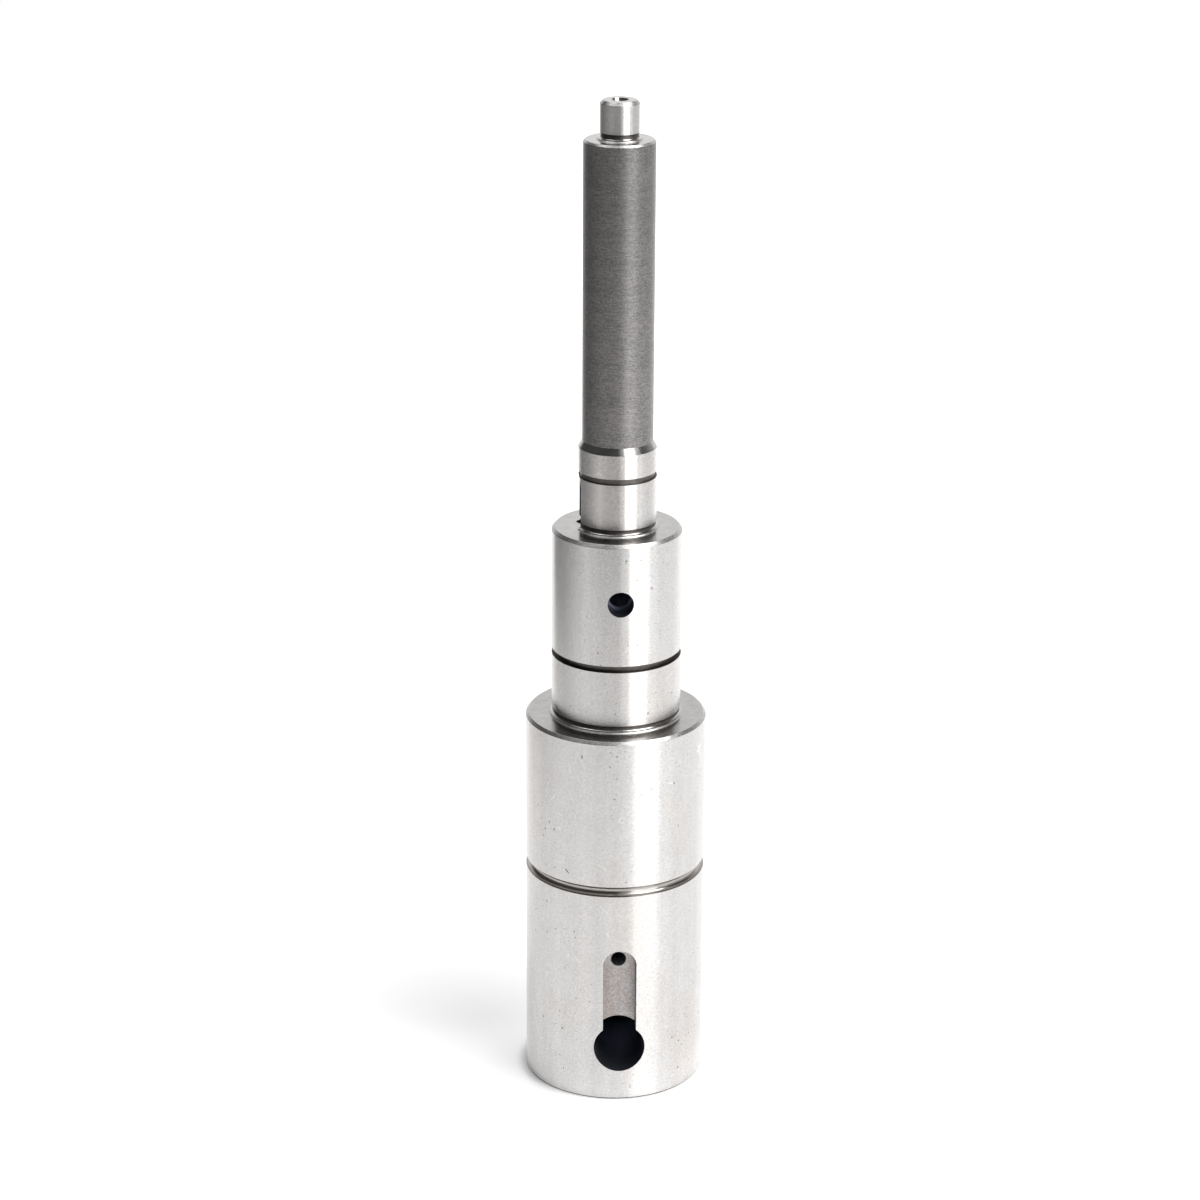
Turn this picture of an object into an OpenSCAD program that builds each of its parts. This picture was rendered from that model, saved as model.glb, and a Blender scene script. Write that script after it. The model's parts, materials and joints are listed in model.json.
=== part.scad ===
// Spindle, turned, ground and milled from one piece of steel, standing on its large end.
// +Z is the axis and the origin is the centre of the base.
// The keyhole slot and the pin hole face -Y, and the keyway faces -X.

/* [Body] */
// Diameter of the large ground body
body_d = 35; // [32:0.5:45]
// Length of the body, from the base to its shoulder
body_len = 75.75; // [60:0.25:110]
// Chamfer at the body's shoulder
body_chamfer = 0.55; // [0.2:0.05:1.5]
// Chamfer at the base
base_chamfer = 0.3; // [0.1:0.1:1]
// Height of the round groove's centre above the base
body_groove_z = 44.7; // [38:0.1:55]
// Diameter of the round groove, which is half as deep
body_groove_d = 2; // [1:0.1:3]

/* [Bearing section] */
// Diameter of the section that carries the bearing
bearing_d = 25; // [20:0.5:29]
// Length of the bearing section, between its two shoulders
bearing_len = 37.75; // [34:0.25:60]
// Chamfer at the bearing section's shoulder
bearing_chamfer = 0.6; // [0.2:0.1:1.5]
// Height of the retaining ring groove's lower side above the body's shoulder
bearing_groove_z = 12.3; // [7:0.1:18]
// Width of the retaining ring groove
bearing_groove_w = 1.2; // [0.7:0.05:2]
// Depth of the retaining ring groove
bearing_groove_depth = 0.9; // [0.3:0.05:2]

/* [Seat] */
// Diameter of the keyed seat
seat_d = 15; // [14:0.5:18]
// Length of the seat, from its shoulder to the foot of the shank
seat_len = 17.25; // [15:0.25:30]
// Length of the taper from the seat down to the shank
seat_taper_len = 1.3; // [0.5:0.1:2]
// Height of the retaining ring groove's lower side above the seat's shoulder
seat_groove_z = 10.25; // [8:0.05:12]
// Width of the retaining ring groove
seat_groove_w = 1.05; // [0.7:0.05:2]
// Depth of the retaining ring groove
seat_groove_depth = 0.35; // [0.2:0.05:0.6]
// Width of the keyway
key_w = 5; // [3:0.5:6]
// Depth of the keyway, from the top of the seat
key_depth = 3; // [1.5:0.1:3.5]
// How far the keyway's round end reaches into the groove
key_overrun = 0.3; // [0.1:0.1:0.6]

/* [Shank] */
// Diameter of the long shank
shank_d = 13.5; // [11:0.25:13.75]
// Length of the shank, from its foot to its shoulder
shank_len = 57.25; // [20:0.25:120]
// Chamfer at the shank's shoulder
shank_chamfer = 0.4; // [0.2:0.1:1]

/* [Stub] */
// Diameter of the end stub
stub_d = 7.5; // [6:0.25:9]
// Length of the end stub
stub_len = 7.25; // [5:0.25:20]
// Chamfer at the stub's end
stub_chamfer = 0.6; // [0.2:0.1:1]

/* [Reliefs and edges] */
// Nose radius of the tool that cuts the relief at the foot of a step
relief_r = 0.6; // [0.4:0.1:1]
// Depth of the relief below the turned diameter
relief_depth = 0.25; // [0.1:0.05:0.35]
// Height of the relief's lowest point above the shoulder's face
relief_rise = 0.25; // [0.05:0.05:0.4]
// Edge break on both sides of the square grooves
groove_edge = 0.04; // [0.02:0.01:0.15]

/* [Keyhole] */
// Diameter of the bore at the lower end of the slot
cross_bore_d = 10; // [8:0.5:12]
// Height of that bore's axis above the base
cross_bore_z = 11.2; // [11:0.1:15]
// Depth of that bore below the body's surface, without its drill point
cross_bore_depth = 24; // [12:0.5:27]
// Width of the slot
slot_w = 6.5; // [4:0.1:7.5]
// Depth of the slot's flat floor below the body's surface
slot_depth = 4.4; // [4.2:0.1:6]
// Distance from the bore's axis up to the centre of the slot's round end
slot_len = 17.7; // [10:0.1:22]
// How far the screw hole's centre lies below the centre of the slot's round end
screw_drop = 0.45; // [0:0.05:1]
// Tapping drill of the screw hole in the slot's floor
screw_drill_d = 2.5; // [2:0.1:2.9]
// Diameter of the screw hole's countersunk mouth
screw_mouth_d = 3; // [3:0.1:3.6]
// Depth of the screw hole below the slot's floor, without its drill point
screw_depth = 8; // [4:0.5:9]

/* [Pin hole] */
// Diameter of the radial pin hole in the bearing section
pin_hole_d = 5; // [4.5:0.1:6]
// Height of the pin hole's axis above the body's shoulder
pin_hole_z = 26; // [20:0.25:28]
// Depth of the pin hole, from the surface to its step
pin_hole_depth = 4.7; // [2:0.1:6]
// Diameter of the narrower hole behind the step
pin_pilot_d = 4.1; // [2:0.1:4.3]
// Depth of the narrower hole below the surface, without its drill point
pin_pilot_depth = 12; // [8:0.5:15]

/* [Centre holes] */
// Mouth diameter of the centre hole in the stub's end
top_centre_d = 3.3; // [2.5:0.1:4]
// Pilot diameter of the centre hole in the stub's end
top_pilot_d = 1.6; // [1:0.1:2]
// Depth of the centre hole in the stub's end, without its drill point
top_pilot_depth = 3.2; // [2.5:0.1:5]
// Mouth diameter of the centre hole in the base
base_centre_d = 4.2; // [3:0.1:5]
// Pilot diameter of the centre hole in the base
base_pilot_d = 2; // [1:0.1:2.5]
// Depth of the centre hole in the base, without its drill point
base_pilot_depth = 3.6; // [3.5:0.1:4]

/* [Hidden] */
$fn = 128;

// Included angles of a twist drill's point, a centre drill's cone and a countersink
drill_point_angle = 118;
centre_angle = 60;
countersink_angle = 90;
// How far a cutter starts outside the surface that it cuts
clear = 1;

body_r = body_d / 2;
bearing_r = bearing_d / 2;
seat_r = seat_d / 2;
shank_r = shank_d / 2;
stub_r = stub_d / 2;

// Heights of the shoulders, the foot of the shank and the end of the stub
bearing_z = body_len;
seat_z = bearing_z + bearing_len;
shank_z = seat_z + seat_len;
stub_z = shank_z + shank_len;
top_z = stub_z + stub_len;

slot_end_z = cross_bore_z + slot_len;
slot_floor_r = body_r - slot_depth;
keyway_len = seat_groove_z + key_overrun;

// Length of a cone between two diameters at an included angle
function cone_len(wide_d, narrow_d, angle) = (wide_d - narrow_d) / 2 / tan(angle / 2);

// Half section of the turned blank, with its chamfers and the taper above the seat
module blank_section() {
    polygon([
        [0, 0],
        [body_r - base_chamfer, 0],
        [body_r, base_chamfer],
        [body_r, bearing_z - body_chamfer],
        [body_r - body_chamfer, bearing_z],
        [bearing_r, bearing_z],
        [bearing_r, seat_z - bearing_chamfer],
        [bearing_r - bearing_chamfer, seat_z],
        [seat_r, seat_z],
        [seat_r, shank_z - seat_taper_len],
        [shank_r, shank_z],
        [shank_r, stub_z - shank_chamfer],
        [shank_r - shank_chamfer, stub_z],
        [stub_r, stub_z],
        [stub_r, top_z - stub_chamfer],
        [stub_r - stub_chamfer, top_z],
        [0, top_z]
    ]);
}

// Half section of a groove cut by a round-nosed tool, its centre on the surface at height z
module round_groove_section(r, z, diameter) {
    translate([r, z])
        circle(d = diameter);
}

// Half section of a square groove with both edges broken, its lower side at height z
module groove_section(r, z, width, depth) {
    translate([r, z])
        polygon([
            [-depth, 0],
            [-groove_edge, 0],
            [groove_edge, -2 * groove_edge],
            [groove_edge, width + 2 * groove_edge],
            [-groove_edge, width],
            [-depth, width]
        ]);
}

// Distance from the axis and height of the tool nose that cuts the relief at the foot of a step
function relief_centre(r, shoulder_z) =
    [r - relief_depth + relief_r, shoulder_z + relief_rise + relief_r];

// Stock that the round-nosed tool leaves in that corner, with a sloping foot on the shoulder
module relief_stock(r, shoulder_z) {
    nose = relief_centre(r, shoulder_z);
    polygon([
        [r - relief_depth, shoulder_z - relief_rise],
        [nose.x + relief_rise, shoulder_z - relief_rise],
        [nose.x + relief_rise, shoulder_z],
        [nose.x, shoulder_z + relief_rise],
        nose,
        [r - relief_depth, nose.y]
    ]);
}

// Round-nosed cut that undercuts the step and leaves a fillet below it
module relief_cut(r, shoulder_z) {
    translate(relief_centre(r, shoulder_z))
        circle(r = relief_r);
}

// Half section with every turned feature
module turned_section() {
    difference() {
        union() {
            blank_section();
            relief_stock(bearing_r, bearing_z);
            relief_stock(seat_r, seat_z);
            relief_stock(stub_r, stub_z);
        }
        round_groove_section(body_r, body_groove_z, body_groove_d);
        groove_section(bearing_r, bearing_z + bearing_groove_z, bearing_groove_w, bearing_groove_depth);
        groove_section(seat_r, seat_z + seat_groove_z, seat_groove_w, seat_groove_depth);
        relief_cut(bearing_r, bearing_z);
        relief_cut(seat_r, seat_z);
        relief_cut(stub_r, stub_z);
    }
}

// Puts a cutter's starting point on the front, at a distance from the axis, and aims it inwards along +Y
module from_front(z, distance) {
    translate([0, -distance, z])
        rotate([-90, 0, 0])
            children();
}

// Drilled hole along +Z from clear below its mouth, ending in a drill point
module drilled_hole(d, depth) {
    translate([0, 0, -clear])
        cylinder(d = d, h = depth + clear);
    translate([0, 0, depth])
        cylinder(d1 = d, d2 = 0, h = cone_len(d, 0, drill_point_angle));
}

// Cone along +Z from a wide mouth down to a hole
module countersink(mouth_d, hole_d, angle) {
    cylinder(d1 = mouth_d, d2 = hole_d, h = cone_len(mouth_d, hole_d, angle));
}

// Centre hole along +Z for turning between centres
module centre_hole(mouth_d, pilot_d, depth) {
    countersink(mouth_d, pilot_d, centre_angle);
    drilled_hole(pilot_d, depth);
}

// Slot with a round upper end, the bore at its lower end and the tapped hole in its floor
module keyhole() {
    translate([-slot_w / 2, -body_r - clear, cross_bore_z])
        cube([slot_w, slot_depth + clear, slot_len]);
    from_front(slot_end_z, body_r + clear)
        cylinder(d = slot_w, h = slot_depth + clear);
    from_front(cross_bore_z, body_r)
        drilled_hole(cross_bore_d, cross_bore_depth);
    from_front(slot_end_z - screw_drop, slot_floor_r) {
        countersink(screw_mouth_d, screw_drill_d, countersink_angle);
        drilled_hole(screw_drill_d, screw_depth);
    }
}

// Stepped radial hole in the bearing section
module pin_hole() {
    from_front(bearing_z + pin_hole_z, bearing_r) {
        translate([0, 0, -clear])
            cylinder(d = pin_hole_d, h = pin_hole_depth + clear);
        drilled_hole(pin_pilot_d, pin_pilot_depth);
    }
}

// Keyway that starts at the seat's shoulder and ends round, in the groove
module keyway() {
    straight_len = keyway_len - key_w / 2;
    translate([-seat_r - clear, 0, seat_z]) {
        translate([0, -key_w / 2, 0])
            cube([key_depth + clear, key_w, straight_len]);
        translate([0, 0, straight_len])
            rotate([0, 90, 0])
                cylinder(d = key_w, h = key_depth + clear);
    }
}

module spindle() {
    color([0.74, 0.74, 0.75])
        difference() {
            rotate_extrude()
                turned_section();
            keyhole();
            pin_hole();
            keyway();
            centre_hole(base_centre_d, base_pilot_d, base_pilot_depth);
            translate([0, 0, top_z])
                mirror([0, 0, 1])
                    centre_hole(top_centre_d, top_pilot_d, top_pilot_depth);
        }
}

spindle();
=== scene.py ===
# %% [markdown]
# # A ground steel spindle, from the lathe to the photograph
#
# This lesson dresses one machine part: a stepped steel spindle that stands on its large end. The exact
# solid is already there, as a fixed frame. Here it gets a finer mesh, the finishes that grinding,
# turning, milling and drilling leave behind, and the studio in which it stands.
#
# The frame is loaded first, because every later size is taken from it. Its box is kept, and the top of
# the part is read from it.

# %% Load the frame
import json
import math

import bmesh
import bpy
from mathutils import Matrix, Vector


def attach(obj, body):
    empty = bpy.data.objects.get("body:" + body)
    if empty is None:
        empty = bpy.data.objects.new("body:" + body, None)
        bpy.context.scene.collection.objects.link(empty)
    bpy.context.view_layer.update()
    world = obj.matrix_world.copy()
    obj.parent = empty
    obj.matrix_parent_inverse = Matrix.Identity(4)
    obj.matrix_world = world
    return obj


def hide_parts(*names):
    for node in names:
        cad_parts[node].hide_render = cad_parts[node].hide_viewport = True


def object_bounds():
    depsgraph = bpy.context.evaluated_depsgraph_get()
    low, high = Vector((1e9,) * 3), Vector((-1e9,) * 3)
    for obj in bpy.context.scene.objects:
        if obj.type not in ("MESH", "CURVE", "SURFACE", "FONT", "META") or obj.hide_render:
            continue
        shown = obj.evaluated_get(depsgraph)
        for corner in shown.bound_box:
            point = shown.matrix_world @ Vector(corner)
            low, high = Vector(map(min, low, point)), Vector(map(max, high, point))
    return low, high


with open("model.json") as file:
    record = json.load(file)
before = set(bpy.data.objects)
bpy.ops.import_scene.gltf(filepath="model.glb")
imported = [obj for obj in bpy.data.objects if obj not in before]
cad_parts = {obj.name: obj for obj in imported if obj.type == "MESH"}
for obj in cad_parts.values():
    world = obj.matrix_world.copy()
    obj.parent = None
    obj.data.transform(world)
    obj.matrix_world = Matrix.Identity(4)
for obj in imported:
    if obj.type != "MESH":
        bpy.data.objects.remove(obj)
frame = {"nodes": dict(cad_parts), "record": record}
cad_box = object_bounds()
print("frame:", sorted(frame["nodes"]), [round(x, 4) for x in cad_box[1]])

# %% [markdown]
# ## Sizes
#
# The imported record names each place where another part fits, with its radius. Those radii are read from
# it. The heights and the small sizes that no mating part needs, such as chamfers and grooves, are written
# out in millimetres and turned into metres once.

# %% Read the radii and set the heights
MM = 0.001
mounts = {mount["name"]: mount for mount in frame["record"]["mounts"]}


def mount_radius(name):
    return mounts[name]["dims"]["r_mm"] * MM


body_r = mount_radius("body")
bearing_r = mount_radius("bearing_seat")
seat_r = mount_radius("keyed_seat")
shank_r = mount_radius("shank")
stub_r = mount_radius("stub")
cross_bore_r = mount_radius("cross_bore")
pin_hole_r = mount_radius("pin_hole")
screw_r = mount_radius("screw_hole")

bearing_z = 75.75 * MM
seat_z = 113.5 * MM
shank_z = 130.75 * MM
stub_z = 188 * MM
top_z = cad_box[1].z
print("radii in mm:", [round(r / MM, 2) for r in (body_r, bearing_r, seat_r, shank_r, stub_r)])

# %% [markdown]
# ## The half section
#
# A turned part is one outline swept round an axis, so the outline is all that has to be drawn. It runs
# from the middle of the base, out and up the steps, to the middle of the end face. Each feature is a
# function that returns its few points from the bottom up. The groove in the body is the half circle of a
# round-nosed tool, for a ring of round wire. The other two grooves are square notches. A relief is the
# arc that the tool's nose leaves at the foot of a step, just above the shoulder.

# %% Draw grooves and reliefs
ARC_STEPS = 24
RELIEF_R = 0.6 * MM
RELIEF_DEPTH = 0.25 * MM
RELIEF_RISE = 0.25 * MM
GROOVE_EDGE = 0.04 * MM


def arc(centre_r, centre_z, radius, start, end):
    angles = [math.radians(start + (end - start) * i / ARC_STEPS) for i in range(ARC_STEPS + 1)]
    return [(centre_r + radius * math.cos(a), centre_z + radius * math.sin(a)) for a in angles]


def groove(wall_r, low_z, width, depth):
    floor_r = wall_r - depth
    lip_r = wall_r - GROOVE_EDGE
    high_z = low_z + width
    low_side = [(wall_r, low_z - GROOVE_EDGE), (lip_r, low_z), (floor_r, low_z)]
    high_side = [(floor_r, high_z), (lip_r, high_z), (wall_r, high_z + GROOVE_EDGE)]
    return low_side + high_side


def relief(wall_r, shoulder_z):
    centre_r = wall_r - RELIEF_DEPTH + RELIEF_R
    centre_z = shoulder_z + RELIEF_RISE + RELIEF_R
    reach = math.degrees(math.acos((RELIEF_R - RELIEF_DEPTH) / RELIEF_R))
    foot = (centre_r + RELIEF_RISE, shoulder_z)
    return [foot] + arc(centre_r, centre_z, RELIEF_R, -90, -180 - reach)


BODY_GROOVE_Z = 44.7 * MM
BODY_GROOVE_R = 1 * MM
body_groove = arc(body_r, BODY_GROOVE_Z, BODY_GROOVE_R, -90, -270)
bearing_groove = groove(bearing_r, low_z=bearing_z + 12.3 * MM, width=1.2 * MM, depth=0.9 * MM)
seat_groove = groove(seat_r, low_z=seat_z + 10.25 * MM, width=1.05 * MM, depth=0.35 * MM)
print("grooves:", [len(points) for points in (body_groove, bearing_groove, seat_groove)], "points")

# %% [markdown]
# The steps are then joined from the base up. Each shoulder ends in a chamfer, so that the next part
# slides on and nobody is cut. The seat runs into the thinner shank over a short taper.

# %% Join the section
BASE_CHAMFER = 0.3 * MM
BODY_CHAMFER = 0.55 * MM
BEARING_CHAMFER = 0.6 * MM
SEAT_TAPER = 1.3 * MM
SHANK_CHAMFER = 0.4 * MM
STUB_CHAMFER = 0.6 * MM

section = [
    (0, 0),
    (body_r - BASE_CHAMFER, 0),
    (body_r, BASE_CHAMFER),
    *body_groove,
    (body_r, bearing_z - BODY_CHAMFER),
    (body_r - BODY_CHAMFER, bearing_z),
    *relief(bearing_r, bearing_z),
    *bearing_groove,
    (bearing_r, seat_z - BEARING_CHAMFER),
    (bearing_r - BEARING_CHAMFER, seat_z),
    *relief(seat_r, seat_z),
    *seat_groove,
    (seat_r, shank_z - SEAT_TAPER),
    (shank_r, shank_z),
    (shank_r, stub_z - SHANK_CHAMFER),
    (shank_r - SHANK_CHAMFER, stub_z),
    *relief(stub_r, stub_z),
    (stub_r, top_z - STUB_CHAMFER),
    (stub_r - STUB_CHAMFER, top_z),
    (0, top_z),
]
print("section:", len(section), "points")

# %% [markdown]
# No real edge is perfectly sharp. A stone or a wire brush breaks it, and the tiny round that is left
# catches a thin line of light, which is what makes a rendered edge look like metal. A Bevel modifier
# could do this to the finished mesh, but it struggles where cuts meet. Rounding the corners of the
# outline, before anything is swept, is exact.

# %% Break the corners of the section
EDGE_BREAK = 0.05 * MM
SHARP_TURN = math.radians(20)
CORNER_STEPS = 3


def break_corners(points):
    softened = [points[0]]
    for before, corner, after in zip(points, points[1:], points[2:]):
        here = Vector(corner)
        back = Vector(before) - here
        ahead = Vector(after) - here
        turn = math.pi - back.angle(ahead)
        if turn < SHARP_TURN:
            softened.append(corner)
            continue
        reach = min(EDGE_BREAK, back.length / 3, ahead.length / 3)
        start = here + back.normalized() * reach
        end = here + ahead.normalized() * reach
        for i in range(CORNER_STEPS + 1):
            t = i / CORNER_STEPS
            point = start * (1 - t) ** 2 + here * 2 * t * (1 - t) + end * t ** 2
            softened.append(tuple(point))
    return softened + [points[-1]]


soft_section = break_corners(section)
print("section with broken corners:", len(soft_section), "points")

# %% [markdown]
# ## The lathe
#
# `bmesh.ops.spin` sweeps the outline round the axis, as a lathe does. The same function later makes every
# drill, so it takes any outline. The points on the axis land on each other, and so do the first and last
# turn, and both are merged, which leaves a closed solid.

# %% Sweep an outline round the axis
TURN_STEPS = 288


def lathe(name, outline, steps, material=None):
    mesh = bpy.data.meshes.new(name)
    bm = bmesh.new()
    points = [bm.verts.new((r, 0, z)) for r, z in outline]
    lines = [bm.edges.new(pair) for pair in zip(points, points[1:])]
    bmesh.ops.spin(bm, geom=points + lines, axis=(0, 0, 1), cent=(0, 0, 0), steps=steps, angle=math.tau)
    bmesh.ops.remove_doubles(bm, verts=bm.verts, dist=MM / 1000)
    bmesh.ops.recalc_face_normals(bm, faces=bm.faces)
    bm.to_mesh(mesh)
    bm.free()
    if material:
        mesh.materials.append(material)
    piece = bpy.data.objects.new(name, mesh)
    bpy.context.scene.collection.objects.link(piece)
    return piece


spindle = lathe("spindle_dressed", soft_section, TURN_STEPS)
print("turned blank:", len(spindle.data.polygons), "faces")

# %% [markdown]
# ## Shader maths in Python
#
# A finish is a small network of nodes. Wiring it by hand hides what it computes, so one class wraps a
# socket and gives it Python's operators: `1 - mask * 0.5` adds the Math nodes by itself. Every other node
# comes from one method, which sets the node's own settings first and then its sockets.

# %% Wrap sockets so that they can be added and multiplied
class Value:
    """One output socket in a finish, which operators extend by Math nodes."""

    def __init__(self, finish, socket):
        self.finish = finish
        self.socket = socket

    def math(self, operation, *operands):
        inputs = dict(enumerate(operands))
        return self.finish.node("Math", {"operation": operation}, inputs)

    def __add__(self, other):
        return self.math("ADD", self, other)

    def __radd__(self, other):
        return self.math("ADD", other, self)

    def __sub__(self, other):
        return self.math("SUBTRACT", self, other)

    def __rsub__(self, other):
        return self.math("SUBTRACT", other, self)

    def __mul__(self, other):
        return self.math("MULTIPLY", self, other)

    def __rmul__(self, other):
        return self.math("MULTIPLY", other, self)

    def __truediv__(self, other):
        return self.math("DIVIDE", self, other)

    def __abs__(self):
        return self.math("ABSOLUTE", self)

    def step(self, low, high):
        """0 below low, 1 above high, and a smooth rise between them, or a fall where low is the larger."""
        ends = {"From Min": low, "From Max": high, "To Min": 0, "To Max": 1}
        return self.finish.node("MapRange", {"interpolation_type": "SMOOTHSTEP"}, {"Value": self, **ends})


class Finish:
    """The node tree of a material or a world, with one method that adds any node."""

    def __init__(self, owner):
        self.owner = owner
        owner.use_nodes = True
        self.tree = owner.node_tree
        self.tree.nodes.clear()

    def node(self, kind, settings=None, sockets=None, output=0):
        made = self.tree.nodes.new("ShaderNode" + kind)
        for name, value in (settings or {}).items():
            setattr(made, name, value)
        for key, value in (sockets or {}).items():
            socket = made.inputs[key] if isinstance(key, int) else self.named(made, key)
            if isinstance(value, Value):
                self.tree.links.new(value.socket, socket)
            else:
                socket.default_value = value
        return Value(self, made.outputs[output])

    def named(self, made, key):
        """The socket with that name or identifier, such as Roughness or A_Color."""
        return next(s for s in made.inputs if key in (s.identifier, s.name))

    def mix(self, factor, first, second, blend="MIX"):
        """A colour between two colours, or the first one blended with the second."""
        ends = {"Factor_Float": factor, "A_Color": first, "B_Color": second}
        return self.node("Mix", {"data_type": "RGBA", "blend_type": blend}, ends, output=2)

    def grey(self, level):
        """A grey colour of that level."""
        return self.node("CombineColor", {}, {0: level, 1: level, 2: level})

    def place(self, scale):
        """The point on the object, in metres times a scale for each axis."""
        where = self.node("TexCoord", output=3)
        return self.node("VectorMath", {"operation": "MULTIPLY"}, {0: where, 1: scale})

    def noise(self, scale, detail=2):
        """Soft random values about 0.5, with features one over scale metres long on each axis."""
        return self.node("TexNoise", {}, {"Vector": self.place(scale), "Scale": 1, "Detail": detail})

    def metal(self, surface):
        """A Principled surface with those sockets."""
        return self.node("BsdfPrincipled", {}, surface)

    def blend(self, share, first, second):
        """Two surfaces in one, the second with that share."""
        return self.node("MixShader", {}, {0: share, 1: first, 2: second})

    def show(self, shader):
        """Puts a shader on the material or the world, and returns that."""
        kind = "OutputMaterial" if isinstance(self.owner, bpy.types.Material) else "OutputWorld"
        output = self.tree.nodes.new("ShaderNode" + kind)
        self.tree.links.new(shader.socket, output.inputs["Surface"])
        return self.owner


def new_finish(name):
    return Finish(bpy.data.materials.new(name))


print("shader helpers ready")

# %% [markdown]
# ## Ground steel
#
# A grinding wheel leaves grooves that are too fine to see, all running round the part. They blur a
# reflection along the axis and leave it sharp round it: the window of light on the wall is a crisp
# upright band. Principled's anisotropy is made for this. Its tangent runs round Z by itself, so a quarter
# turn puts the long blur upright.
#
# A second, rougher layer of the same colour is mixed in. It is the haze of small scratches, and it lets
# the band's edges fade instead of ending in a line. Over that lie the small things that say the part has
# been handled: pits, hairline scratches and a faint warm stain.

# %% Make the ground finish
def hairlines(finish, scale, width, share):
    """Thin wandering lines: the places where a soft noise passes its middle, broken up by a second noise."""
    wander = finish.noise((scale, scale, scale), detail=1)
    line = abs(wander - 0.5).step(width, width * 0.3)
    part = finish.noise((scale * 3, scale * 3, scale * 2), detail=0)
    return line * part.step(1 - share, 1 - share + 0.1)


def pits(finish, spacing, size):
    """Ragged specks of many sizes: near the random points of a cell pattern, crowded in some places."""
    cells = {"Vector": finish.place((1 / spacing,) * 3), "Scale": 1}
    distance = finish.node("TexVoronoi", {"voronoi_dimensions": "3D"}, cells)
    ragged = finish.noise((1.1 / size, 1.1 / size, 0.7 / size), detail=1)
    crowded = finish.noise((110, 110, 70), detail=1).step(0.36, 0.64)
    reach = (0.25 + crowded) * (0.2 + ragged * 1.6) * (size / spacing)
    return distance.step(reach, reach * 0.5)


CLEAN = (0.675, 0.663, 0.653, 1)
STAINED = (0.655, 0.618, 0.592, 1)
SCRATCHED = (0.95, 0.95, 0.94, 1)
PITTED = (0.16, 0.13, 0.12, 1)
HAZE = 0.22
QUARTER_TURN = 0.25


def ground_steel():
    finish = new_finish("ground_steel")
    stain = finish.noise((90, 90, 40), detail=3).step(0.45, 0.75)
    clean = finish.mix(stain * 0.8, CLEAN, STAINED)
    streak = finish.noise((500, 500, 8), detail=2)
    cloud = finish.noise((330, 330, 240), detail=3)
    grain = finish.noise((2500, 2500, 3400), detail=2)
    shade = 0.60 + streak * 0.14 + cloud * 0.14 + grain * 0.52
    specks = pits(finish, 1.9 * MM, 0.21 * MM)
    dust = pits(finish, 1.1 * MM, 0.13 * MM)
    scratches = hairlines(finish, 95, 0.005, 0.36) + hairlines(finish, 140, 0.005, 0.36)
    colour = finish.mix(1, clean, finish.grey(shade), "MULTIPLY")
    colour = finish.mix(scratches * 0.45, colour, SCRATCHED)
    colour = finish.mix(specks * 0.7 + dust * 0.5, colour, PITTED)
    wheel_marks = {
        "Base Color": colour,
        "Metallic": 1,
        "Roughness": 0.25 + (grain - 0.5) * 0.05,
        "Anisotropic": 0.85,
        "Anisotropic Rotation": QUARTER_TURN,
    }
    haze = {**wheel_marks, "Roughness": 0.42, "Anisotropic": 0.5}
    return finish.show(finish.blend(HAZE, finish.metal(wheel_marks), finish.metal(haze)))


ground = ground_steel()
print(ground.name, len(ground.node_tree.nodes), "nodes")

# %% [markdown]
# The shoulders were faced on the lathe with a pointed tool, which leaves fine rings about the axis. So
# this noise is stretched over the distance from the axis alone. The chamfers were broken with a file.
# They are rougher, so that they smear the lamps along themselves.

# %% Make the faced and the filed finish
def faced_steel():
    finish = new_finish("faced_steel")
    out = finish.node("VectorMath", {"operation": "LENGTH"}, {0: finish.place((1, 1, 0))}, output="Value")
    across = finish.node("CombineXYZ", {}, {0: out * 5200})
    rings = finish.node("TexNoise", {}, {"Vector": across, "Scale": 1, "Detail": 2})
    smudge = finish.noise((500, 500, 500), detail=3)
    mark = rings * 0.5 + smudge * 0.5
    surface = {
        "Base Color": finish.mix(mark.step(0.3, 0.7), (0.47, 0.46, 0.455, 1), (0.60, 0.59, 0.58, 1)),
        "Metallic": 1,
        "Roughness": 0.18 + (smudge - 0.5) * 0.06,
        "Anisotropic": 0.5,
        "Anisotropic Rotation": QUARTER_TURN,
    }
    return finish.show(finish.metal(surface))


def filed_steel():
    finish = new_finish("filed_steel")
    strokes = finish.noise((2600, 2600, 2600), detail=2)
    surface = {
        "Base Color": finish.mix(strokes.step(0.3, 0.7), (0.44, 0.43, 0.42, 1), (0.66, 0.65, 0.64, 1)),
        "Metallic": 1,
        "Roughness": 0.34 + (strokes - 0.5) * 0.1,
    }
    return finish.show(finish.metal(surface))


faced = faced_steel()
filed = filed_steel()
print(faced.name, filed.name)
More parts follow.
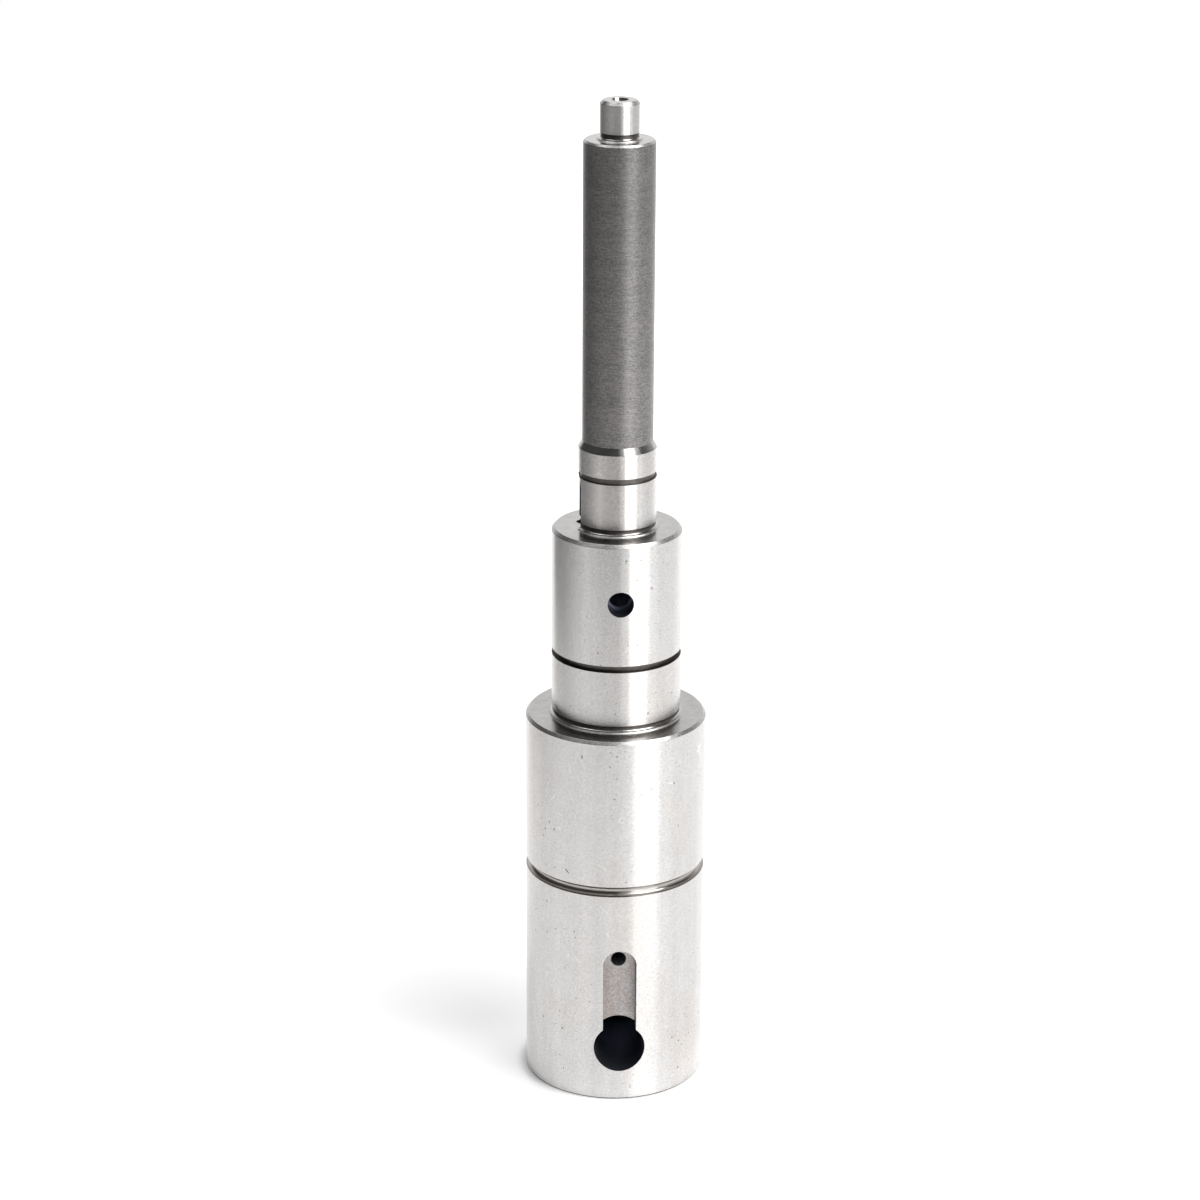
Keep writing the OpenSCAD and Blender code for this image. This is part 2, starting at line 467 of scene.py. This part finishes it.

# %% [markdown]
# ## The turned shank
#
# The long shank never saw the grinding wheel. The turning tool tore fine, broken rings into it, and a
# thin dark scale has grown in them. It scatters light more than it mirrors it, so the shank is only
# partly metallic here, and a film of oil, which is Principled's coat, brightens it where it turns away
# from the eye. The colour is darker towards the end. The rings are noise that is stretched round the
# part: its features are long round the axis and very short along it.

# %% Make the turned finish
def turned_steel():
    finish = new_finish("turned_steel")
    rings = finish.noise((700, 700, 5200), detail=3)
    torn = finish.noise((2700, 2700, 3400), detail=2)
    bands = finish.noise((60, 60, 420), detail=2)
    bare = (rings * 0.45 + torn * 0.4 + bands * 0.15).step(0.29, 0.73)
    height = {"Strength": 0.2, "Distance": 0.02 * MM, "Height": rings + torn}
    # The colour is made darker towards the end of the shank.
    up = finish.node("SeparateXYZ", {}, {0: finish.place((1, 1, 1))}, output=2)
    scale = 0.78 + up.step(0.190, 0.128) * 0.3
    colour = finish.mix(bare, (0.066, 0.063, 0.064, 1), (0.262, 0.246, 0.234, 1))
    surface = {
        "Base Color": finish.mix(1, colour, finish.grey(scale), "MULTIPLY"),
        "Metallic": 0.45,
        "Roughness": 0.50,
        "Coat Weight": 0.6 + (torn - 0.5) * 0.8,
        "Coat Roughness": 0.32,
        "Coat IOR": 2.0,
        "Normal": finish.node("Bump", {}, height),
    }
    return finish.show(finish.metal(surface))


turned = turned_steel()
print(turned.name, len(turned.node_tree.nodes), "nodes")

# %% [markdown]
# ## Grooves, the milled slot and the drilled holes
#
# Grooves keep the parting tool's dull surface, and they are painted dark, as the shade inside them. The
# same dark finish is painted as shade into the undercuts and under faces that hang over. The round groove
# is smoother and brown with old oil. The drilled holes are painted a dark bluish grey, the colour of the
# shade inside them, and hardly any light comes back out of them. All of these are bare metal between two
# colours, in patches that run the way the tool did, so one function makes them.

# %% Make the oily and shaded finishes
def oily_and_shaded_steel(name, patch_scale, dark, light, roughness, **more):
    finish = new_finish(name)
    patches = finish.noise(patch_scale, detail=2)
    colour = finish.mix(patches, dark, light)
    return finish.show(finish.metal({"Base Color": colour, "Metallic": 1, "Roughness": roughness, **more}))


run_round = {"Anisotropic": 0.5, "Anisotropic Rotation": QUARTER_TURN}
# Painted shade: the groove finish is near black, as the shade in a groove, and its roughness is the dull tool
# mark.
groove_and_shade = oily_and_shaded_steel("groove_steel_and_painted_shade", (900, 900, 2500), (0.06, 0.055, 0.05, 1), (0.19, 0.175, 0.165, 1), 0.40)
round_grooved = oily_and_shaded_steel(
    "round_groove_steel", (700, 700, 2500), (0.34, 0.315, 0.295, 1), (0.52, 0.50, 0.48, 1), 0.20, **run_round
)
threaded = oily_and_shaded_steel("threaded_steel", (900, 900, 900), (0.16, 0.165, 0.18, 1), (0.30, 0.305, 0.32, 1), 0.3)
# Painted shade: the drilled and bored finishes are a dark bluish grey, the colour of the shade inside a hole,
# and the cuts that take them carry it.
drilled = oily_and_shaded_steel("drilled_steel_painted_shade", (600, 2500, 600), (0.10, 0.11, 0.14, 1), (0.18, 0.19, 0.22, 1), 0.4)
bored = oily_and_shaded_steel("bored_steel_painted_shade", (700, 1800, 700), (0.20, 0.215, 0.26, 1), (0.27, 0.29, 0.34, 1), 0.42)
print([material.name for material in (groove_and_shade, round_grooved, threaded, drilled, bored)])

# %% [markdown]
# The slot's floor is milled. It is sandy and dull, with patches of brown, so a fine noise both darkens it
# and roughens it by a bump that is far too small to model.

# %% Make the milled finish
def milled_steel():
    finish = new_finish("milled_steel")
    sand = finish.noise((3000, 3000, 3000), detail=3)
    patches = finish.noise((260, 260, 260), detail=2)
    colour = finish.mix(patches.step(0.35, 0.7), (0.50, 0.49, 0.48, 1), (0.47, 0.40, 0.37, 1))
    colour = finish.mix(sand.step(0.35, 0.70), finish.mix(0.55, colour, (0.2, 0.18, 0.17, 1)), colour)
    height = {"Strength": 0.2, "Distance": 0.02 * MM, "Height": sand}
    surface = {
        "Base Color": colour,
        "Metallic": 1,
        "Roughness": 0.36,
        "Normal": finish.node("Bump", {}, height),
    }
    return finish.show(finish.metal(surface))


milled = milled_steel()
print(milled.name, len(milled.node_tree.nodes), "nodes")

# %% [markdown]
# ## Which finish goes where
#
# A face of the blank knows where it lies, so it can tell which tool made it. Between a groove's two sides
# it gets the dark groove finish. On the long shank it is turned. In a relief, and where it hangs over, it
# gets the same dark finish as painted shade, and only the fillet that looks up gets the lighter faced
# finish. Where it is upright it was ground, where it slopes it was filed, and where it is level it was
# faced.

# %% Give each turned face its finish
TURNED_FINISHES = [ground, faced, filed, turned, groove_and_shade, round_grooved]
GROUND, FACED, FILED, TURNED, GROOVE_AND_SHADE, ROUND_GROOVED = range(len(TURNED_FINISHES))
UPRIGHT = 0.05
LEVEL = 0.95
FILLET_FACES_UP = 0.62
FOOT_START = 0.05 * RELIEF_RISE


def turned_finish(face):
    z = face.center.z
    for notch in (bearing_groove, seat_groove):
        if notch[0][1] - EDGE_BREAK < z < notch[-1][1] + EDGE_BREAK:
            return GROOVE_AND_SHADE
    if body_groove[0][1] - EDGE_BREAK < z < body_groove[-1][1] + EDGE_BREAK:
        return ROUND_GROOVED
    if shank_z < z < stub_z - SHANK_CHAMFER:
        return TURNED
    for shoulder_z in (bearing_z, seat_z, stub_z):
        rise = z - shoulder_z
        if RELIEF_RISE < rise < RELIEF_RISE + 2 * RELIEF_R:
            # Painted shade: the relief is dark, and only the fillet that looks up stays light.
            return FACED if face.normal.z > FILLET_FACES_UP else GROOVE_AND_SHADE
        if FOOT_START < rise < RELIEF_RISE:
            return FILED
    if shank_z - SEAT_TAPER < z < shank_z:
        return FACED
    # Painted shade: faces that hang over, such as the base chamfer, get the dark groove finish.
    if face.normal.z < -UPRIGHT:
        return GROOVE_AND_SHADE
    if face.normal.z < UPRIGHT:
        return GROUND
    return FILED if face.normal.z < LEVEL else FACED


for material in TURNED_FINISHES:
    spindle.data.materials.append(material)
for face in spindle.data.polygons:
    face.material_index = turned_finish(face)
used = [face.material_index for face in spindle.data.polygons]
print("faces by finish:", {material.name: used.count(i) for i, material in enumerate(TURNED_FINISHES)})

# %% [markdown]
# ## The cuts
#
# Each cut is made as in the shop: a tool of the right shape is put in place and taken away from the
# solid, which is what a Boolean modifier does. The tool leaves its own finish on what it cuts, because
# the modifier carries the cutter's material over. A drill is one more outline for the lathe, with a
# pointed tip, and it is laid down along +Y to cut from the front.

# %% Cut with drills
CLEAR = 1 * MM
DRILL_STEPS = 96
POINT_SLOPE = math.tan(math.radians(118 / 2))


def cut(cutter):
    boolean = spindle.modifiers.new("cut", "BOOLEAN")
    boolean.operation = "DIFFERENCE"
    boolean.solver = "MANIFOLD"
    boolean.material_mode = "TRANSFER"
    boolean.object = cutter
    bpy.context.view_layer.objects.active = spindle
    bpy.ops.object.modifier_apply(modifier=boolean.name)
    bpy.data.objects.remove(cutter)
    print("cut, faces now", len(spindle.data.polygons))


def drill(outline, material):
    """A drill along +Z that starts clear below z = 0, from (radius, depth) points, with a pointed tip."""
    tip_r, tip_z = outline[-1]
    points = [(0, -CLEAR), (outline[0][0], -CLEAR), *outline, (0, tip_z + tip_r / POINT_SLOPE)]
    return lathe("drill", points, DRILL_STEPS, material)


def aim_from_front(cutter, height, distance):
    """Lays a cutter that points along +Z down along +Y, with its start in front of the axis."""
    cutter.data.transform(Matrix.Translation((0, -distance, height)) @ Matrix.Rotation(-math.pi / 2, 4, "X"))
    return cutter


cross_bore_z = mounts["cross_bore"]["pos_m"][2]
CROSS_BORE_DEPTH = 24 * MM
cut(aim_from_front(drill([(cross_bore_r, CROSS_BORE_DEPTH)], bored), cross_bore_z, body_r))

pin_hole_z = mounts["pin_hole"]["pos_m"][2]
PIN_HOLE_DEPTH = 4.7 * MM
PIN_VENT_R = 2.05 * MM
PIN_VENT_DEPTH = 12 * MM
stepped = [(pin_hole_r, PIN_HOLE_DEPTH), (PIN_VENT_R, PIN_HOLE_DEPTH), (PIN_VENT_R, PIN_VENT_DEPTH)]
cut(aim_from_front(drill(stepped, bored), pin_hole_z, bearing_r))

# %% [markdown]
# A centre hole takes the point of the lathe's centre: a 60 degree cone with a small pilot hole behind it.
# There is one in each end. The one in the base is drilled from below, and the other one is the same drill
# turned over.

# %% Drill the centre holes
CENTRE_SLOPE = math.tan(math.radians(60 / 2))


def centre_drill(mouth_r, pilot_r, depth):
    cone_z = (mouth_r - pilot_r) / CENTRE_SLOPE
    flare_r = mouth_r + CLEAR * CENTRE_SLOPE
    tip = (0, depth + pilot_r / POINT_SLOPE)
    points = [(0, -CLEAR), (flare_r, -CLEAR), (pilot_r, cone_z), (pilot_r, depth), tip]
    return lathe("centre_drill", points, DRILL_STEPS, faced)


cut(centre_drill(mouth_r=2.1 * MM, pilot_r=1 * MM, depth=3.6 * MM))
end_drill = centre_drill(mouth_r=1.65 * MM, pilot_r=0.8 * MM, depth=3.2 * MM)
end_drill.data.transform(Matrix.Translation((0, 0, top_z)) @ Matrix.Rotation(math.pi, 4, "X"))
cut(end_drill)

# %% [markdown]
# The slot and the keyway are cut with an end mill, whose round body leaves a half circle where it stops.
# Both are one outline, a straight run with a round end, that is pushed into the wall. The slot runs up
# from the bore and keeps a flat floor. The keyway faces left, starts at the shoulder and runs out into
# the groove.

# %% Mill the slot and the keyway
MILL_STEPS = 48


def end_mill(half_width, low, high, depth, floor, sides, foot):
    """A cutter from low to a round end about high, pushed along +Y to depth, with three finishes."""
    bm = bmesh.new()
    turn = [math.pi * i / MILL_STEPS for i in range(MILL_STEPS + 1)]
    outline = [(-half_width, low), (half_width, low)]
    outline += [(half_width * math.cos(a), high + half_width * math.sin(a)) for a in turn]
    face = bm.faces.new([bm.verts.new((x, 0, z)) for x, z in outline])
    pushed = bmesh.ops.extrude_face_region(bm, geom=[face])["geom"]
    moved = [v for v in pushed if isinstance(v, bmesh.types.BMVert)]
    bmesh.ops.translate(bm, verts=moved, vec=(0, depth, 0))
    bmesh.ops.recalc_face_normals(bm, faces=bm.faces)
    for face in bm.faces:
        face.material_index = 1
        if face.normal.y > 0.5:
            face.material_index = 0
        elif face.normal.z < -0.5:
            face.material_index = 2
    mesh = bpy.data.meshes.new("end_mill")
    bm.to_mesh(mesh)
    bm.free()
    for material in (floor, sides, foot):
        mesh.materials.append(material)
    cutter = bpy.data.objects.new("end_mill", mesh)
    bpy.context.scene.collection.objects.link(cutter)
    return cutter


SLOT_HALF_WIDTH = 3.25 * MM
SLOT_DEPTH = 4.4 * MM
SLOT_END_Z = 28.9 * MM
slot_mill = end_mill(SLOT_HALF_WIDTH, cross_bore_z, SLOT_END_Z, SLOT_DEPTH + CLEAR, milled, drilled, drilled)
slot_mill.data.transform(Matrix.Translation((0, -body_r - CLEAR, 0)))
cut(slot_mill)

KEY_HALF_WIDTH = 2.5 * MM
KEY_DEPTH = 3 * MM
KEY_OVERRUN = 0.3 * MM
keyway_end_z = seat_groove[1][1] + KEY_OVERRUN - KEY_HALF_WIDTH
key_mill = end_mill(KEY_HALF_WIDTH, seat_z, keyway_end_z, KEY_DEPTH + CLEAR, drilled, drilled, faced)
to_left = Matrix.Rotation(-math.pi / 2, 4, "Z") @ Matrix.Translation((0, -seat_r - CLEAR, 0))
key_mill.data.transform(to_left)
cut(key_mill)

# %% [markdown]
# ## The tapped hole
#
# The small hole in the slot's floor has an M3 thread, and its first turns catch the light. A tap is a rod
# whose radius rises and falls along a helix, so the cutter is a grid of points round and along the hole,
# with the radius worked out from the turn and the depth. Cutting with that gives the hole its real
# thread.

# %% Tap the screw hole
THREAD_PITCH = 0.5 * MM
THREAD_MAJOR_R = 1.5 * MM
THREAD_DEPTH = 8 * MM
TAP_STEPS = 40
RINGS_PER_TURN = 8


def tap(minor_r, major_r, pitch, depth):
    """A tap along +Z from clear below z = 0, with a V thread between two radii and a pointed tip."""
    bm = bmesh.new()
    rings = []
    count = round((depth + CLEAR) / pitch * RINGS_PER_TURN)
    for ring in range(count + 1):
        z = -CLEAR + (depth + CLEAR) * ring / count
        points = []
        for i in range(TAP_STEPS):
            turn = i / TAP_STEPS
            phase = (z / pitch - turn) % 1
            r = minor_r + (major_r - minor_r) * abs(2 * phase - 1)
            points.append(bm.verts.new((r * math.cos(turn * math.tau), r * math.sin(turn * math.tau), z)))
        rings.append(points)
    for low, high in zip(rings, rings[1:]):
        for i in range(TAP_STEPS):
            j = (i + 1) % TAP_STEPS
            bm.faces.new((low[i], low[j], high[j], high[i]))
    bm.faces.new(rings[0][::-1])
    tip = bm.verts.new((0, 0, depth + minor_r / POINT_SLOPE))
    for i in range(TAP_STEPS):
        bm.faces.new((rings[-1][i], rings[-1][(i + 1) % TAP_STEPS], tip))
    bmesh.ops.recalc_face_normals(bm, faces=bm.faces)
    mesh = bpy.data.meshes.new("tap")
    bm.to_mesh(mesh)
    bm.free()
    mesh.materials.append(threaded)
    cutter = bpy.data.objects.new("tap", mesh)
    bpy.context.scene.collection.objects.link(cutter)
    return cutter


screw_z = mounts["screw_hole"]["pos_m"][2]
cone = [(0, -CLEAR), (THREAD_MAJOR_R + CLEAR, -CLEAR), (0, THREAD_MAJOR_R)]
countersink = lathe("countersink", cone, DRILL_STEPS, drilled)
cut(aim_from_front(countersink, screw_z, body_r - SLOT_DEPTH))
screw_tap = tap(screw_r, THREAD_MAJOR_R, THREAD_PITCH, THREAD_DEPTH)
cut(aim_from_front(screw_tap, screw_z, body_r - SLOT_DEPTH))

# %% [markdown]
# ## Nicks
#
# A part that has lain in a drawer with others has a few nicks in its ground walls. Each one is the dent
# of a small rounded edge, so the cutter is a thin ellipsoid that is sunk a little into the wall and leans
# as the knock did.

# %% Knock a few nicks into the body
NICK_STEPS = 16
NICKS = [
    {"turn": -25.1, "height": 72.4 * MM, "length": 0.9 * MM, "width": 0.20 * MM, "lean": 8},
    {"turn": -35.5, "height": 48.0 * MM, "length": 1.2 * MM, "width": 0.22 * MM, "lean": -45},
    {"turn": -35.6, "height": 27.9 * MM, "length": 0.34 * MM, "width": 0.24 * MM, "lean": 30},
    {"turn": -36.4, "height": 27.3 * MM, "length": 0.34 * MM, "width": 0.26 * MM, "lean": 0},
]


def nick(turn, height, length, width, lean):
    """A dent in the body, turned so many degrees to the right of the front and leaning from upright."""
    half_circle = [math.pi * (i / NICK_STEPS - 0.5) for i in range(NICK_STEPS + 1)]
    outline = [(width / 2 * math.cos(a), length / 2 * math.sin(a)) for a in half_circle]
    outline[0] = (0, -length / 2)
    outline[-1] = (0, length / 2)
    cutter = lathe("nick", outline, NICK_STEPS, drilled)
    cutter.data.transform(
        Matrix.Rotation(math.radians(turn), 4, "Z")
        @ Matrix.Translation((0, -body_r, height))
        @ Matrix.Rotation(math.radians(lean), 4, "Y")
    )
    cut(cutter)


for values in NICKS:
    nick(**values)

# %% [markdown]
# ## Exact normals
#
# The blank has flat facets, and cuts through it leave odd shapes beside each hole. Averaged normals would
# show as smudges in the reflections there. But the true direction is known: on a turned surface it is the
# face's own slope along the section, and the exact radius round the axis. Setting those as custom normals
# makes the walls perfectly round. The cut faces stay smooth up to their sharp edges.

# %% Set the normals of the turned faces
SMOOTH_ANGLE = math.radians(35)
BROAD_FACE = 0.16 * MM
FLAT = 0.999


def set_round_normals(mesh):
    mesh.shade_smooth()
    mesh.set_sharp_from_angle(angle=SMOOTH_ANGLE)
    normals = [corner.vector.copy() for corner in mesh.corner_normals]
    turned_count = 0
    for face in mesh.polygons:
        if face.material_index >= len(TURNED_FINISHES):
            continue
        if abs(face.normal.z) > FLAT:
            for corner in face.loop_indices:
                normals[corner] = face.normal.copy()
            continue
        heights = [mesh.vertices[v].co.z for v in face.vertices]
        radii = [mesh.vertices[v].co.xy.length for v in face.vertices]
        broad = max(max(heights) - min(heights), max(radii) - min(radii)) > BROAD_FACE
        centre_out = Vector((face.center.x, face.center.y, 0)).normalized()
        for corner in face.loop_indices:
            point = mesh.vertices[mesh.loops[corner].vertex_index].co
            out = Vector((point.x, point.y, 0)).normalized()
            rise = face.normal.z if broad else normals[corner].z
            lean = math.copysign(math.sqrt(max(0, 1 - rise ** 2)), face.normal.dot(centre_out))
            normals[corner] = out * lean + Vector((0, 0, rise))
        turned_count += 1
    mesh.normals_split_custom_set(normals)
    return turned_count


print("faces with exact normals:", set_round_normals(spindle.data))

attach(spindle, "root")
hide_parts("spindle")

# %% [markdown]
# ## The table
#
# The part stands on a white table in front of a white backdrop. For the camera the table is a little
# brighter than the lamps alone would make it, so that it meets the white behind it without a line, and it
# still takes the shadow. Close to the part, on the lit side, a painted pool of light stands for the light
# that the steel throws back on it. A painted contact shadow darkens the foot, most of all on the other
# side, and a soft painted shadow lies behind it on the left. The table ends an arm's length in front of
# the part. The steel shows that: the higher a step is, the more it mirrors the dark room beyond the
# table's edge.

# %% Lay the table
TABLE_EDGE = [(-0.38, -0.27), (0.38, -0.27), (0.38, 0.30), (0.80, 2.20), (-0.22, 2.20), (-0.16, 0.25)]
TABLE_LIFT = 0.43
PAINTED_BOUNCE = 0.20
LEFT_PAINTED_SHADOW = 0.09
BACK_LIFT = 0.06
FOOT_PAINTED_SHADOW = 0.7
LIT_RIGHT = 0.57
LIT_FRONT = 0.82


def white_table():
    finish = new_finish("white_table")
    seen = finish.node("LightPath", output="Is Camera Ray") + finish.node("LightPath", output="Is Glossy Ray")
    away = finish.node("VectorMath", {"operation": "LENGTH"}, {0: finish.place((1, 1, 1))}, output="Value")
    x = finish.node("SeparateXYZ", {}, {0: finish.place((1, 1, 1))}, output=0)
    y = finish.node("SeparateXYZ", {}, {0: finish.place((1, 1, 1))}, output=1)
    side = (x * LIT_RIGHT - y * LIT_FRONT) / away
    lit_side = side.step(-0.2, 0.6)
    # Painted light: a pool of glow near the part on the lit side, for the light the steel throws back.
    painted_bounce = away.step(0.036, body_r) * lit_side * PAINTED_BOUNCE
    # Painted shadow: a soft dark patch on the table to the left of and behind the part.
    shade = side.step(-0.75, -0.98) * away.step(0.020, 0.034) * away.step(0.075, 0.035) * LEFT_PAINTED_SHADOW
    behind = y.step(0.15, 0.70) * (1 - TABLE_LIFT) + y.step(0.04, 0.09) * BACK_LIFT
    glow = TABLE_LIFT + behind + painted_bounce - shade
    # Painted contact shadow: the table is darker right at the foot, most of all away from the lamps.
    foot = 1 - away.step(0.020, body_r) * (1 - lit_side * 0.6) * FOOT_PAINTED_SHADOW
    wear = finish.noise((40, 40, 40), detail=3)
    surface = {
        "Base Color": finish.mix(wear, (0.79, 0.79, 0.80, 1), (0.81, 0.81, 0.81, 1)),
        "Roughness": 0.10 + wear * 0.04,
        "Emission Color": finish.grey(seen * glow * foot),
        "Emission Strength": 1,
    }
    return finish.show(finish.metal(surface))


table_mesh = bpy.data.meshes.new("table")
table_mesh.from_pydata([(x, y, 0) for x, y in TABLE_EDGE], [], [range(len(TABLE_EDGE))])
table_mesh.materials.append(white_table())
table = bpy.data.objects.new("table", table_mesh)
bpy.context.scene.collection.objects.link(table)
print("table:", len(TABLE_EDGE), "corners")

# %% [markdown]
# ## The room
#
# The camera sees white all round. Reflections see the room: the white backdrop behind the part, a pale
# wall on the right, and a dim room in front that is darker the higher one looks. A direction is split
# into how far it turns from the front, in degrees to the right, and how high it points, and each part of
# the room is a smooth step of those.

# %% Build the room
ROOM_HIGH = 0.07
ROOM_LOW = 0.34
LEFT_LOW = 0.22
BACKDROP = 1.0
RIGHT_WALL = 0.75
CEILING = 0.15
LEFT_DIMS = (-75, -115)
BACKDROP_RIGHT = (112, 135)
BACKDROP_LEFT = (-134, -154)
WALL_STARTS = (45, 70)


def studio_room():
    world = bpy.data.worlds.new("studio_room")
    bpy.context.scene.world = world
    finish = Finish(world)
    direction = finish.node("TexCoord", output=0)
    x = finish.node("SeparateXYZ", {}, {0: direction}, output=0)
    y = finish.node("SeparateXYZ", {}, {0: direction}, output=1)
    z = finish.node("SeparateXYZ", {}, {0: direction}, output=2)
    turn = x.math("ARCTAN2", x, 0 - y) * math.degrees(1)
    low = ROOM_LOW - turn.step(*LEFT_DIMS) * (ROOM_LOW - LEFT_LOW)
    room = ROOM_HIGH + z.step(0.20, -0.10) * (low - ROOM_HIGH) + z.step(0.70, 1.0) * CEILING
    behind = turn.step(*BACKDROP_RIGHT) + turn.step(*BACKDROP_LEFT)
    backdrop = behind * z.step(0.80, 0.25) * BACKDROP
    wall = turn.step(*WALL_STARTS) * z.step(0.60, -0.05) * RIGHT_WALL
    glow = room.math("MAXIMUM", room, backdrop)
    glow = glow.math("MAXIMUM", glow, wall)
    is_camera = finish.node("LightPath", output="Is Camera Ray")
    light = finish.grey(glow.math("MAXIMUM", glow, is_camera))
    finish.show(finish.node("Background", {}, {"Color": light, "Strength": 1}))


studio_room()
print("room: backdrop", BACKDROP, "right wall", RIGHT_WALL)

# %% [markdown]
# ## The softboxes
#
# One tall softbox stands to the right of the camera. On the walls it is the crisp white band. Its width
# and place come from that band: on a round wall, a reflection turns twice as far as the normal does. Its
# cloth glows dimly beyond the bright middle, so a wider and weaker lamp lies behind it. The main light is
# high on the right. The walls look too low to mirror it, but the chamfers do, and it lays a soft shadow
# to the left. The last one hangs overhead and a little behind. It draws the thin bright line at the foot
# of each step, where the fillet turns its face to the ceiling.

# %% Hang the softboxes
BAND = (11.3, 28.6)
BAND_RADIANCE = 1.9
RIM = (4, 38)
RIM_RADIANCE = 0.35
RIM_BEHIND = 0.02
BAND_DISTANCE = 0.70
BAND_LOW = -0.30
BAND_HIGH = 1.30
HIGH_PLACE = Vector((0.52, -0.30, 0.98))
HIGH_SIZE = 0.55
HIGH_RADIANCE = 6.0
OVERHEAD_PLACE = Vector((0, 0.26, 1.10))
OVERHEAD_SIZE = (1.20, 0.64)
OVERHEAD_RADIANCE = 2.2
CAMERA_TURN = math.radians(-3.8)


def softbox(name, place, back, width, height, radiance):
    """A lamp of one brightness all over, which shines away from the direction of its back."""
    lamp = bpy.data.lights.new(name, "AREA")
    lamp.shape = "RECTANGLE"
    lamp.size = width
    lamp.size_y = height
    lamp.energy = radiance * math.pi * width * height
    box = bpy.data.objects.new(name, lamp)
    box.location = place
    box.rotation_mode = "QUATERNION"
    box.rotation_quaternion = back.to_track_quat("Z", "Y")
    box.visible_camera = False
    bpy.context.scene.collection.objects.link(box)


def band_softbox(name, band, distance, radiance):
    """A tall softbox that the walls mirror between two angles of their normal, right of the camera."""
    left, right = (math.radians(angle) for angle in band)
    middle = left + right + CAMERA_TURN
    away = Vector((math.sin(middle), -math.cos(middle), 0))
    place = away * distance + Vector((0, 0, (BAND_LOW + BAND_HIGH) / 2))
    width = 2 * distance * math.tan(right - left)
    softbox(name, place, away, width, BAND_HIGH - BAND_LOW, radiance)
    print(name, "width in m:", round(width, 3))


band_softbox("tall_softbox", BAND, BAND_DISTANCE, BAND_RADIANCE)
band_softbox("tall_softbox_rim", RIM, BAND_DISTANCE + RIM_BEHIND, RIM_RADIANCE)
softbox("high_softbox", HIGH_PLACE, HIGH_PLACE, HIGH_SIZE, HIGH_SIZE, HIGH_RADIANCE)
softbox("overhead_softbox", OVERHEAD_PLACE, Vector((0, 0, 1)), *OVERHEAD_SIZE, OVERHEAD_RADIANCE)
print("softboxes:", len(bpy.data.lights))

# %% [markdown]
# ## The camera
#
# The photograph was taken from a little above, with a long lens. Its distance, height and tilt were
# worked out from the outlines of the steps, so the render lies over the photograph.

# %% Set up the camera
CAMERA_DISTANCE = 594.28 * MM
CAMERA_HEIGHT = 311.04 * MM
CAMERA_PITCH = math.radians(19.696)
CAMERA_PAN = math.radians(0.307)
CAMERA_ROLL = math.radians(0.297)
LENS = 98.53
SENSOR = 36

lens = bpy.data.cameras.new("camera")
lens.lens = LENS
lens.sensor_width = SENSOR
lens.clip_start = 0.01
camera = bpy.data.objects.new("camera", lens)
camera.matrix_world = (
    Matrix.Rotation(CAMERA_TURN, 4, "Z")
    @ Matrix.Translation((0, -CAMERA_DISTANCE, CAMERA_HEIGHT))
    @ Matrix.Rotation(CAMERA_PAN, 4, "Z")
    @ Matrix.Rotation(math.pi / 2 - CAMERA_PITCH, 4, "X")
    @ Matrix.Rotation(CAMERA_ROLL, 4, "Z")
)
bpy.context.scene.collection.objects.link(camera)
bpy.context.scene.camera = camera
bpy.context.scene.view_settings.view_transform = "Standard"
print("camera at", [round(x, 3) for x in camera.location])
